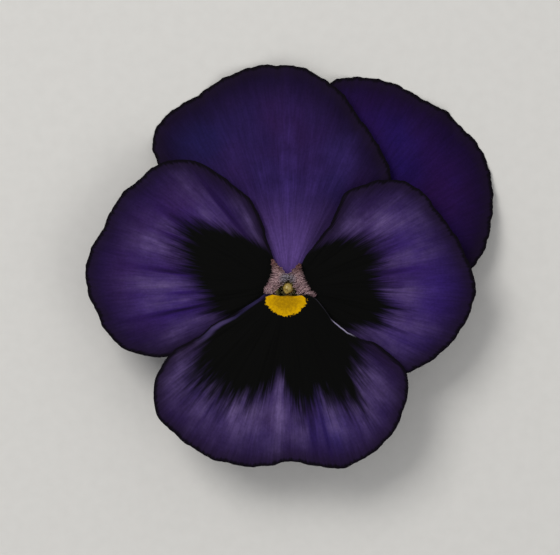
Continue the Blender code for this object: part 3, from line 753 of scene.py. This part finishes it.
def petal_velvet(name, deep, middle, cool, light, throat, inner):
    """Pansy petal skin: domed cells over violet sap, which give a soft, matt velvet darker than any
    paint. Pale and dark streaks fan out along the veins, the widest first, and fray the blotch's edge.

    middle is the blade's colour, deep that near the margin, cool and light those of its patches and its
    streaks, and throat that of its base, with inner for how much of it shows.
    """
    material, add = new_material(name, Roughness=0.75, Specular_IOR_Level=0.03, Sheen_Weight=0.035,
                                 Sheen_Roughness=0.4, Sheen_Tint=srgb("#75609f"))
    fan, marks, extras = (add("Attribute", attribute_name=field)["Vector"]
                          for field in ("fan", "marks", "extras"))
    distance = add("SeparateXYZ", {0: fan})[1]
    ratio, edge, gleam = add("SeparateXYZ", {0: marks})
    eye, line, chill = add("SeparateXYZ", {0: extras})
    place = add("TexCoord")["Object"]
    broad, medium, fine = (
        spread_noise(add, add("VectorMath", {0: fan, 1: size}, operation="MULTIPLY")[0], 1)
        for size in STREAKS)
    patches = spread_noise(add, place, 1 / (3.0 * MM), 0.45, 1.1)
    wide_patches = spread_noise(add, place, 1 / (9 * MM), 0.0, 0.5)
    velvet = spread_noise(add, place, 1 / (0.4 * MM), 0.18, 0.0)

    # the blade: bluer patches, a deeper colour towards the margin and a paler one at the throat
    bluish = add("Math", {0: wide_patches, 1: chill}, operation="ADD", use_clamp=True)[0]
    outer = add("MapRange", {0: edge, 1: 8.0, 2: 0.6}, **SMOOTH)[0]
    pale = add("MapRange", {0: distance, 1: 19.0, 2: 2.0, 4: inner}, **SMOOTH)[0]
    combed = add("MapRange", {0: medium, 3: 0.68, 4: 1.05})[0]
    pale = add("Math", {0: pale, 1: combed}, operation="MULTIPLY")[0]

    # its streaks: a pale haze, dark gleams (on the upper left petal partly painted shade) and thin lines all
    # over
    haze = add("Math", {0: broad, 1: 0.06, 2: gleam}, operation="MULTIPLY_ADD", use_clamp=True)[0]
    haze = add("Math", {0: haze, 1: patches}, operation="MULTIPLY")[0]
    combed = add("MapRange", {0: medium, 3: 0.52, 4: 1.15})[0]
    haze = add("Math", {0: haze, 1: combed}, operation="MULTIPLY")[0]
    darkened = add("Math", {0: gleam, 1: -1.0}, operation="MULTIPLY", use_clamp=True)[0]
    lines = add("MapRange", {0: fine, 3: 0.23, 4: 0.0})[0]
    # colour in layers, among them painted shade at the margin and painted light on the lower petal's margins
    colour = layered(add, srgb(middle), [
        (bluish, cool), (outer, deep), (haze, light), (pale, throat), (darkened, "#110a1c"),
        (lines, "#0a0612"), (velvet, "#0a0612"), *margin_layers(add, edge, fine),
        *blotch_layers(add, ratio, medium, fine), *margin_light_layers(add, line, distance, medium),
        *throat_layers(add, distance, eye, place, velvet)])

    # relief of the domed cells, grooved along the finest streaks
    cells = add("TexNoise", {"Vector": place, "Scale": 1 / (0.3 * MM), "Detail": 3, "Roughness": 0.6})[0]
    grain = add("Math", {0: fine, 1: 0.5, 2: cells}, operation="MULTIPLY_ADD")[0]
    bump = add("Bump", {"Height": grain, "Strength": 0.5, "Distance": 0.08 * MM})[0]
    return dressed(material, colour, bump)


def petal_back():
    """Underside of a petal: the same skin with less sap in it, a dull greyed violet. Thin dark veins
    fan out from the claw, and more of them begin between the first as the petal widens."""
    material, add = new_material("petal_underside", Roughness=0.62, Specular_IOR_Level=0.12,
                                 Sheen_Weight=0.04, Sheen_Roughness=0.4)
    fan, marks = (add("Attribute", attribute_name=field)["Vector"] for field in ("fan", "marks"))
    angle, distance, _ = add("SeparateXYZ", {0: fan})
    edge = add("SeparateXYZ", {0: marks})[1]
    drawn = add("VectorMath", {0: fan, 1: (3.0, 0.10, 5.1)}, operation="MULTIPLY")[0]
    sway = add("TexNoise", {"Vector": drawn, "Scale": 1, "Detail": 1})[0]
    swayed = add("Math", {0: sway, 1: 0.12, 2: angle}, operation="MULTIPLY_ADD")[0]
    veins = 0.0
    for spacing, start, wide in VEIN_SETS:
        turns = add("Math", {0: swayed, 1: 1 / spacing, 2: 20.0}, operation="MULTIPLY_ADD")[0]
        off = add("Math", {0: turns, 1: 0.5}, operation="PINGPONG")[0]
        off = add("Math", {0: off, 1: distance}, operation="MULTIPLY")[0]
        vein = add("MapRange", {0: off, 1: wide * 1.8 / spacing, 2: wide * 0.4 / spacing}, **SMOOTH)[0]
        begun = add("MapRange", {0: distance, 1: start, 2: start + 6}, **SMOOTH)[0]
        vein = add("Math", {0: vein, 1: begun}, operation="MULTIPLY")[0]
        veins = add("Math", {0: veins, 1: vein}, operation="MAXIMUM")[0]
    patches = spread_noise(add, add("TexCoord")["Object"], 1 / (5 * MM), 0.0, 0.5)
    rim = add("MapRange", {0: edge, 1: 9.0, 2: 0.4})[0]
    claw = add("MapRange", {0: distance, 1: 11.0, 2: 3.0}, **SMOOTH)[0]
    dark = add("Math", {0: veins, 1: 0.55}, operation="MULTIPLY")[0]
    colour = layered(add, srgb("#54466f"), [
        (rim, "#33254d"), (patches, "#453763"), (claw, "#85876f"), (dark, "#241638")])
    bump = add("Bump", {"Height": veins, "Strength": 0.6, "Distance": 0.06 * MM})[0]
    return dressed(material, colour, bump)


def speckled(name):
    """Plain surface: its colour wanders between two tones at one grain size, with a matching relief."""
    dark, pale, grain, relief, roughness = SURFACES[name]
    material, add = new_material(name, Roughness=roughness)
    noise = add("TexNoise", {"Vector": add("TexCoord")["Object"], "Scale": 1 / (grain * MM), "Detail": 3})[0]
    share = add("MapRange", {0: noise, 1: 0.3, 2: 0.7})[0]
    bump = add("Bump", {"Height": noise, "Strength": 0.5, "Distance": relief * MM})[0]
    return dressed(material, layered(add, srgb(dark), [(share, pale)]), bump)


def leaf_skin(name, dark, pale, margin, flush, wide, lines):
    """Sepal and stalk skin: a waxy green rind, satin, with parallel veins drawn along it and a blush
    here and there. wide is the midrib's half width, and lines how many veins to a millimetre.

    The piece's own strip attribute is (distance from the midrib, distance along, share of the way to
    the margin).
    """
    material, add = new_material(name, Roughness=0.48, Specular_IOR_Level=0.35)
    strip = add("Attribute", attribute_name="strip")["Vector"]
    across, _, share = add("SeparateXYZ", {0: strip})
    drawn = add("VectorMath", {0: strip, 1: (lines, 0.35, 0)}, operation="MULTIPLY")[0]
    noise = add("TexNoise", {"Vector": drawn, "Scale": 1, "Detail": 2})[0]
    vein = add("MapRange", {0: noise, 1: 0.35, 2: 0.65})[0]
    off = add("Math", {0: across}, operation="ABSOLUTE")[0]
    rib = add("MapRange", {0: off, 1: wide, 2: wide * 0.3, 4: 0.6})[0]
    rim = add("MapRange", {0: share, 1: 0.8, 2: 1.0})[0]
    place = add("TexCoord")["Object"]
    blush = add("TexNoise", {"Vector": place, "Scale": 1 / (5 * MM)})[0]
    blush = add("MapRange", {0: blush, 1: 0.5, 2: 0.75, 4: 0.45})[0]
    colour = layered(add, srgb(dark), [(vein, pale), (rib, pale), (rim, margin), (blush, flush)])
    bump = add("Bump", {"Height": vein, "Strength": 0.5, "Distance": 0.05 * MM})[0]
    return dressed(material, colour, bump)


def hair_material():
    """Beard hairs: short, water-filled clubs with thin clear walls, soft pinkish grey against the dark
    throat, brownish red at the tuft's outer end and cool grey where the two beards meet."""
    material, add = new_material("beard_hair", Roughness=0.5, Specular_IOR_Level=0.3)
    strand = add("Attribute", attribute_name="strand")["Vector"]
    along, tint, tuft = add("SeparateXYZ", {0: strand})
    place = add("TexCoord")["Object"]
    meeting = add("VectorMath", {0: place, 1: tuple(placed(BEARDS_MEET))}, operation="DISTANCE")[1]
    cool = add("MapRange", {0: meeting, 1: 1.7 * MM, 2: 0.9 * MM, 4: 0.7})[0]
    high = add("MapRange", {0: tuft, 1: 0.30, 2: 0.04, 4: 0.9})[0]
    low = add("MapRange", {0: tuft, 1: 0.90, 2: 1.0, 4: 0.8})[0]
    base = add("MapRange", {0: along, 1: 0.5, 2: 0.0, 4: 0.8})[0]
    colour = layered(add, srgb("#806067"), [
        (tint, "#bb9d9c"), (cool, "#82848f"), (high, "#6d463f"), (low, "#5a3d45"), (base, "#4f3a3c")])
    return dressed(material, colour)


def make_petal(name, petal, node_name, front, back):
    """One petal: a sheet that has its full thickness inside and thins out towards its edge, velvet in
    front and on its border, and veined behind."""
    middle, edge, outline = petal_grid(petal)
    fields = petal_fields(petal, middle, edge)
    thick = MARGIN_THICK + (PETAL_THICK - MARGIN_THICK) * ease(outline / MARGIN_TAPER)
    middle[..., 2] = np.maximum(middle[..., 2], thick / 2 + SURFACE_GAP)
    add_piece(name, closed_sheet(middle, thick), [front, back], [node_name], fields, parts=(0, 1, 0))


def spur_section(angle):
    """Outline of the spur, a little flattened."""
    return 1 - 0.08 * np.cos(angle)**2


def make_spur(skin):
    """Nectar spur behind the lower petal: a blunt pouch with shallow rings, swept along its route."""
    t = np.linspace(0, 1, 60)
    route = smooth_curve([(0, y, z, radius) for y, z, radius in SPUR], t)
    radii = route[:, 3] * (1 + 0.03 * np.sin(14 * t))
    shape = closed_tubes(swept_rings(route[None, :, :3], radii[None], 40, spur_section))
    add_piece("nectar_spur", shape, [skin], ["petal_lower"])


def make_beard(name, guides, seed, skin):
    """Tuft of short club hairs. A hair's root and tip lie at its share of the guide lines, scattered by
    the seed. Its path is a quadratic curve that rises between them, and its radius swells towards a
    rounded tip. Hairs that start further in are sunk into the throat, and those that reach the lower
    petal's edge are tucked under it."""
    rng = np.random.default_rng(seed)
    share = rng.uniform(0, 1, HAIRS)
    stations = np.linspace(0, 1, len(guides))
    lines = [np.interp(share, stations, line) for line in np.array(guides, float).T]
    guide = np.stack(lines[:2], axis=-1)
    way = np.stack(lines[2:], axis=-1) - guide
    first = rng.uniform(*HAIR_FIRST, (HAIRS, 1))
    last = first + rng.uniform(*HAIR_SPAN, (HAIRS, 1))
    root, tip = (guide + way * part + rng.uniform(-stray, stray, (HAIRS, 2))
                 for part, stray in zip((first, last), HAIR_STRAY))
    floor = RIM_HEIGHT + 2 * LAYER_STEP + face_height(root[:, 0], root[:, 1])
    sink = HAIR_SINK * grown(first[:, 0], 0.1, 0.4)
    tucked = 1 - 0.55 * grown(tip[:, 1], -0.95, -0.3)
    start = np.column_stack([root, floor - 0.1 - sink])
    end = np.column_stack([tip, floor + rng.uniform(*HAIR_RISE, HAIRS) * tucked - 0.4 * sink])
    knee = (start + end) / 2
    knee[:, 2] += rng.uniform(*HAIR_ARCH, HAIRS)

    t = 1 - (1 - np.linspace(0, 1, HAIR_STEPS))**1.6
    weights = np.stack([(1 - t)**2, 2 * t * (1 - t), t**2])[..., None]
    path = sum(spots[:, None] * weight for spots, weight in zip((start, knee, end), weights))
    girth = 0.55 + 0.45 * ease(t * 1.4) + 0.30 * np.exp(-((t - 0.86) / 0.13)**2)
    girth = girth * np.sqrt(1 - (np.maximum(t - 0.8, 0) / 0.21)**2)
    radii = HAIR_RADIUS * girth * rng.uniform(0.75, 1.25, (HAIRS, 1))
    shape = closed_tubes(swept_rings(path, radii, HAIR_SIDES, up=(0.3, 0.2, 1.0)))

    tint = rng.uniform(0, 1, HAIRS)
    strand = np.stack([np.broadcast_to(values, (HAIRS, HAIR_STEPS, HAIR_SIDES)) for values in (
        t[None, :, None], tint[:, None, None], share[:, None, None])], axis=-1)
    strand = np.concatenate([strand.reshape(-1, 3), strand[:, [0, -1], 0].reshape(-1, 3)])
    add_piece(name, shape, [skin], fields={"strand": strand})


def make_pistil(skin):
    """Ovary, style and stigma turned about the throat's axis. The stigma's ball has a pit that faces
    the lower petal, with a raised rim and a small lip under it: each mark moves the ball's points
    outwards by depth * exp(-((angle off its middle - ring) / wide)^2)."""
    head, radius = PISTIL_HEAD
    ball = head - radius * np.cos(np.linspace(0.7, math.pi * 0.985, 50))
    z = np.sort(np.concatenate([np.linspace(*PISTIL_ENDS, 70), ball]))
    stem = np.maximum(np.interp(z, *np.array(PISTIL_SHAPE).T), 0.02)
    globe = np.sqrt(np.maximum(radius**2 - (z - head)**2, 0.0004))
    radii = np.where(z > head - radius * 0.75, globe, stem)
    rings = swept_rings(upright(z), radii[None], 56)
    arm = rings - np.array([0, 0, head])
    length = np.linalg.norm(arm, axis=-1, keepdims=True)
    near = grown(rings[..., 2:], head - radius, 0.4)
    for azimuth, rise, depth, wide, ring in STIGMA_MARKS:
        turn, climb = math.radians(azimuth), math.radians(rise)
        aim = np.array([math.cos(turn) * math.cos(climb), math.sin(turn) * math.cos(climb), math.sin(climb)])
        off = np.arccos(np.clip((arm / length) @ aim, -1, 1))[..., None]
        rings = rings + arm * near * depth * np.exp(-((off - ring) / wide)**2)
    add_piece("stigma_and_style", closed_tubes(rings), [skin], ["pistil"])


def pollen_sacs(angle):
    """Outline of one anther: two plump sacs side by side."""
    return 0.32 + 0.26 * np.cos(angle)**2 + 0.10 * np.cos(2 * angle)


def make_anthers(pollen, membrane):
    """Five anthers in a cone round the ovary, each two pollen sacs side by side, and over each a thin
    orange tip that bends in to the style."""
    turns = np.radians(90 + 360 / ANTHERS * np.arange(ANTHERS))
    t = np.linspace(0, 1, 26)
    ring = ANTHER_RING + 0.12 - 0.5 * t
    height = ANTHER_LOW + (ANTHER_HIGH - ANTHER_LOW) * t
    plump = np.sqrt(np.clip(1 - (2 * t - 1)**4, 0.03, 1))
    u, v = unit_grid(12, 9)
    across = (2 * v - 1) * 0.45 * np.sqrt(1.02 - u)
    radial = 0.95 - 0.42 * u
    rings, tips = [], []
    for c, s in zip(np.cos(turns), np.sin(turns)):
        path = np.stack([ring * c, ring * s, height], axis=-1)[None]
        rings.append(swept_rings(path, plump[None], 28, pollen_sacs, (-s, c, 0)))
        rise = ANTHER_HIGH - 0.35 + u
        middle = np.stack([radial * c + across * s, radial * s - across * c, rise], axis=-1)
        tips.append(closed_sheet(middle, np.full_like(u, 0.08)))
    add_piece("anther_cone", closed_tubes(np.concatenate(rings)), [pollen], ["stamens"])
    add_piece("anther_tips", merged(tips), [membrane])


def make_sepal(name, azimuth, node_name, skin):
    """Sepal with a backward flap: its middle line is a smooth curve of radius, height and width, it
    bends up to both sides as the square of how far across, twists a little along its length, and has a
    rounded midrib and a thin, faintly toothed edge."""
    u, v = unit_grid(90, 33)
    path = smooth_curve(SEPAL, u)
    ahead = smooth_curve(SEPAL, np.minimum(u + 0.01, 1)) - smooth_curve(SEPAL, np.maximum(u - 0.01, 0))
    length = np.hypot(ahead[..., 0], ahead[..., 1])
    across = 2 * v - 1
    teeth = 1 + 0.035 * np.abs(across)**3 * mixed_sines(u, (17, 29, 43), azimuth)
    lift = SEPAL_KEEL * across**2 * path[..., 2] / 5
    lift = lift + 0.12 * np.sin(9 * u + azimuth) * across * ease(u * 3 - 0.8)
    radial = path[..., 0] - lift * ahead[..., 1] / length
    z = path[..., 1] + lift * ahead[..., 0] / length
    point = 1 - 0.85 * grown(u, 0.88, 0.12)
    side = -across * path[..., 2] / 2 * teeth * point
    turn = math.radians(azimuth)
    middle = np.stack([radial * math.cos(turn) - side * math.sin(turn),
                       radial * math.sin(turn) + side * math.cos(turn), z], axis=-1)
    inside = SEPAL_INSIDE * ease((1 - np.abs(across)) / 0.5)
    thick = SEPAL_EDGE + (inside + SEPAL_MIDRIB * np.exp(-(side / 0.22)**2)) * point
    middle[..., 2] = np.maximum(middle[..., 2], thick / 2 + SURFACE_GAP)
    strip = np.stack([side, path[..., 0], np.maximum(np.abs(across), grown(u, 0.93, 0.07))], axis=-1)
    add_piece(name, closed_sheet(middle, thick), [skin], [node_name], {"strip": strip})


def stalk_ridges(angle):
    """Outline of the stalk: four soft ridges, with a fine line along each."""
    return 1 - 0.055 * np.cos(4 * angle) + 0.015 * np.cos(8 * angle)


def make_stalk(skin, cut):
    """Stalk hooked under the bloom, swept along its route, with a small chamfer round its cut face."""
    steps, sides = 220, 64
    t = np.linspace(0, 1, steps)
    route = smooth_curve(STALK_ROUTE, t)
    route[:, 2] = np.maximum(route[:, 2], STALK_MEAN)
    radii = STALK_MEAN + 0.02 * mixed_sines(t, (3, 5, 8), 5)
    radii[-2:] *= (0.97, 0.88)
    route[-3:, 1] = route[-4, 1] - np.array([0.10, 0.16, 0.18])
    rings = swept_rings(route[None], radii[None], sides, stalk_ridges)
    rings[..., 2] = np.maximum(rings[..., 2], SURFACE_GAP)
    girth = np.broadcast_to(np.arange(sides) / sides * TAU * STALK_RADIUS, (steps, sides))
    along = np.broadcast_to(route[:, 1:2], (steps, sides))
    strip = np.stack([girth, along, np.zeros_like(girth)], axis=-1).reshape(-1, 3)
    strip = np.concatenate([strip, [(0, 0, 0), (0, route[-1, 1], 0)]])
    add_piece("stalk_skin", closed_tubes(rings), [skin, cut], ["stalk"], {"strip": strip},
              parts=(0, 0, 1))


def receptacle_lobes(angle):
    """Outline of the receptacle: five faint lobes, one under each petal."""
    return 1 + 0.04 * np.cos(5 * (angle - math.pi / 2))


def make_receptacle(skin):
    """Cup at the stalk's top that carries the petals and sepals, turned from its profile."""
    z = np.linspace(RECEPTACLE[0][0], RECEPTACLE[-1][0], 50)
    radii = np.interp(z, *np.array(RECEPTACLE).T)
    shape = closed_tubes(swept_rings(upright(z), radii[None], 80, receptacle_lobes))
    add_piece("receptacle", shape, [skin], ["stalk"])


def make_bracteole(name, side, skin):
    """One of the two narrow bracteoles, pointed and slightly hollow, on the left (-1) or the right (1)
    of the stalk. Its half width falls with the square root of what is left to its tip."""
    u, v = unit_grid(50, 13)
    half = BRACTEOLE_WIDE * np.sqrt(np.maximum(1 - u, 0.01)) / 2
    half = half * (1 + 0.12 * np.exp(-(u / 0.25)**2) * np.sin(60 * u))
    across = (2 * v - 1) * half
    x = 0.5 + side * (0.1 + 1.7 * u + 0.25 * u * u) + across * 0.85 * side
    y = BRACTEOLE_AT + BRACTEOLE_LONG * u * 0.85 - across * 0.5
    z = STALK_RADIUS * 0.92 + 0.25 + 0.9 * u + 0.15 * (2 * v - 1)**2
    points, faces = closed_sheet(np.stack([x, y, z], axis=-1), np.full_like(u, 0.22))
    if side < 0:
        faces = [group[:, ::-1] for group in faces]
    strip = np.stack([across, u * BRACTEOLE_LONG, np.abs(2 * v - 1) * 0.9], axis=-1)
    add_piece(name, (points, faces), [skin], ["stalk"], {"strip": strip})


def make_stage():
    """A plain pale floor, a large soft light from the upper left and a weak one opposite."""
    mesh = bpy.data.meshes.new("floor")
    half = FLOOR_WIDE / 2
    corners = [(-half, -half, 0), (half, -half, 0), (half, half, 0), (-half, half, 0)]
    mesh.from_pydata(corners, [], [(0, 1, 2, 3)])
    mesh.materials.append(speckled("pale_floor"))
    floor = bpy.data.objects.new("floor", mesh)
    bpy.context.scene.collection.objects.link(floor)
    world = bpy.data.worlds.new("studio")
    world.use_nodes = True
    backdrop = world.node_tree.nodes["Background"]
    backdrop.inputs["Color"].default_value = srgb(BACKDROP[0])
    backdrop.inputs["Strength"].default_value = BACKDROP[1]
    bpy.context.scene.world = world
    for name, place, size, power in LAMPS:
        lamp = bpy.data.lights.new(name, "AREA")
        lamp.size = size
        lamp.energy = power
        light = bpy.data.objects.new(name, lamp)
        light.location = place
        light.rotation_euler = (-light.location).to_track_quat("-Z", "Y").to_euler()
        bpy.context.scene.collection.objects.link(light)


def make_camera():
    """Look straight down from far off, so that the photograph's frame spans its true width."""
    wide = PHOTO_WIDE * MM_PER_PIXEL * MM
    east = (PHOTO_WIDE / 2 - THROAT_PIXEL[0]) * MM_PER_PIXEL * MM
    north = (THROAT_PIXEL[1] - PHOTO_TALL / 2) * MM_PER_PIXEL * MM
    lens = bpy.data.cameras.new("camera")
    lens.sensor_width = SENSOR
    lens.lens = SENSOR * (CAMERA_HEIGHT - FACE_LEVEL * MM) / wide
    camera = bpy.data.objects.new("camera", lens)
    camera.location = (THROAT[0] + east, THROAT[1] + north, CAMERA_HEIGHT)
    bpy.context.scene.collection.objects.link(camera)
    bpy.context.scene.camera = camera
    bpy.context.scene.view_settings.view_transform = "Standard"


def main():
    """Build every piece of the bloom, then the floor, the lights and the camera."""
    velvets = {name: petal_velvet(name, *colours) for name, colours in VELVETS.items()}
    under = petal_back()
    for name, (petal, node_name, slot, velvet) in PETALS.items():
        make_petal(name, petal, node_name, velvets[velvet], under)
    make_spur(speckled("spur_skin"))
    hair = hair_material()
    make_beard("left_beard", LEFT_BEARD, 31, hair)
    make_beard("right_beard", RIGHT_BEARD, 32, hair)
    make_pistil(speckled("stigma_skin"))
    make_anthers(speckled("pollen_sac"), speckled("anther_membrane"))
    sepal = leaf_skin("sepal_skin", "#48702a", "#7fa04a", "#a9b983", "#5c4a52", wide=0.35, lines=5.0)
    for name, (azimuth, node_name) in SEPALS.items():
        make_sepal(name, azimuth, node_name, sepal)
    stalk = leaf_skin("stalk_skin", "#5a8032", "#8aa851", "#8aa851", "#6a5550", wide=0.0, lines=1.8)
    make_stalk(stalk, speckled("cut_face"))
    make_receptacle(speckled("receptacle_skin"))
    make_bracteole("left_bracteole", -1, stalk)
    make_bracteole("right_bracteole", 1, stalk)
    make_stage()
    make_camera()


main()
